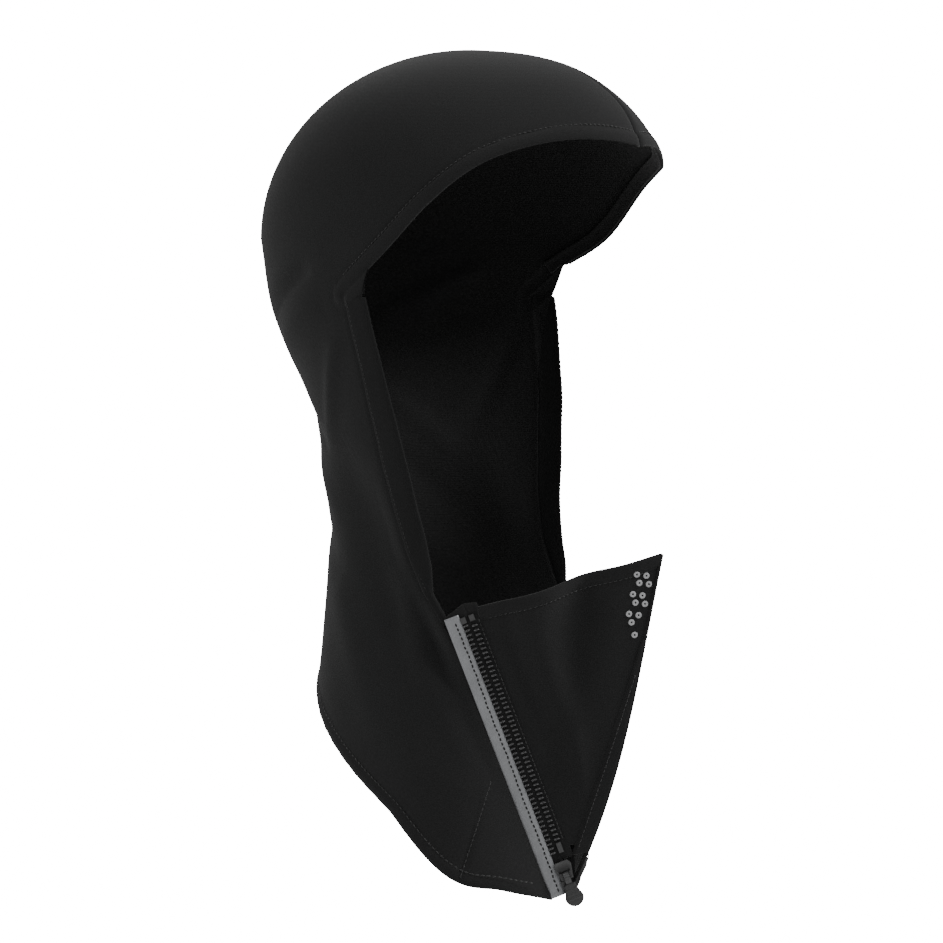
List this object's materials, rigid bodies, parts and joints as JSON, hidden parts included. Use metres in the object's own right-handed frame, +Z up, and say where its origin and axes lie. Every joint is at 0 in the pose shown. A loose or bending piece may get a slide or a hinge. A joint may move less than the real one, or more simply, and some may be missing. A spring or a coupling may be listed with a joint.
{
  "type": "balaclava",
  "caption": "Stretch-fleece balaclava with an open face, a long collar and a V-shaped mask whose side zip lets it hang under the chin.",
  "frame": {"origin": "centre of the wearer's head, level with its widest place", "axes": "+Z up, the wearer faces -Y, the wearer's right is -X"},
  "size_m": [0.156, 0.2024, 0.3798],
  "materials": {
    "fleece": "matte stretch fleece",
    "trim_fabric": "matte knit",
    "zip_tape": "woven tape",
    "reflective": "retroreflective coated",
    "zip_plastic": "moulded",
    "slider_metal": "black enamel",
    "pull_rubber": "moulded rubber",
    "vent_plastic": "silver print film"
  },
  "bodies": {
    "hood": {"brow_hem_left": "trim_fabric", "brow_hem_right": "trim_fabric", "collar_hem_left": "trim_fabric", "collar_hem_right": "trim_fabric", "crown_seam_tape": "trim_fabric", "face_facing_left": "trim_fabric", "face_facing_right": "trim_fabric", "front_seam_bead": "trim_fabric", "mask_panel_left": "fleece", "mask_top_hem_left": "trim_fabric", "reflective_tape": "reflective", "side_panel_left": "fleece", "side_panel_right": "fleece", "vent_rings_left": "vent_plastic", "zip_end_box": "zip_plastic", "zip_tape_outer": "zip_tape", "zip_teeth_outer": "zip_plastic", "zip_top_stop_outer": "zip_plastic"},
    "mask_flap": {"mask_panel_right": "fleece", "mask_top_hem_right": "trim_fabric", "front_seam_lap": "trim_fabric", "zip_tape_inner": "zip_tape", "zip_teeth_inner": "zip_plastic", "zip_top_stop_inner": "zip_plastic", "zip_end_pin": "zip_plastic", "vent_rings_right": "vent_plastic"},
    "slider": {"slider_body": "slider_metal"},
    "pull": {"pull_link": "slider_metal", "pull_tab": "pull_rubber"}
  },
  "joints": [
    {"name": "mask_flap_swing", "type": "hinge", "parent": "hood", "child": "mask_flap", "pos_m": [0, -0.103, -0.139], "axis": [0, -0.3181, 0.9481], "range_deg": [0, 70]},
    {"name": "slider_slide", "type": "slide", "parent": "hood", "child": "slider", "axis": [-0.3446, 0.1915, 0.919], "range_m": [0, 0.115]},
    {"name": "pull_swing", "type": "hinge", "parent": "slider", "child": "pull", "pos_m": [-0.0088, -0.05769, -0.28173], "axis": [-0.5511, 0.7513, -0.3632], "range_deg": [0, 160]}
  ]
}
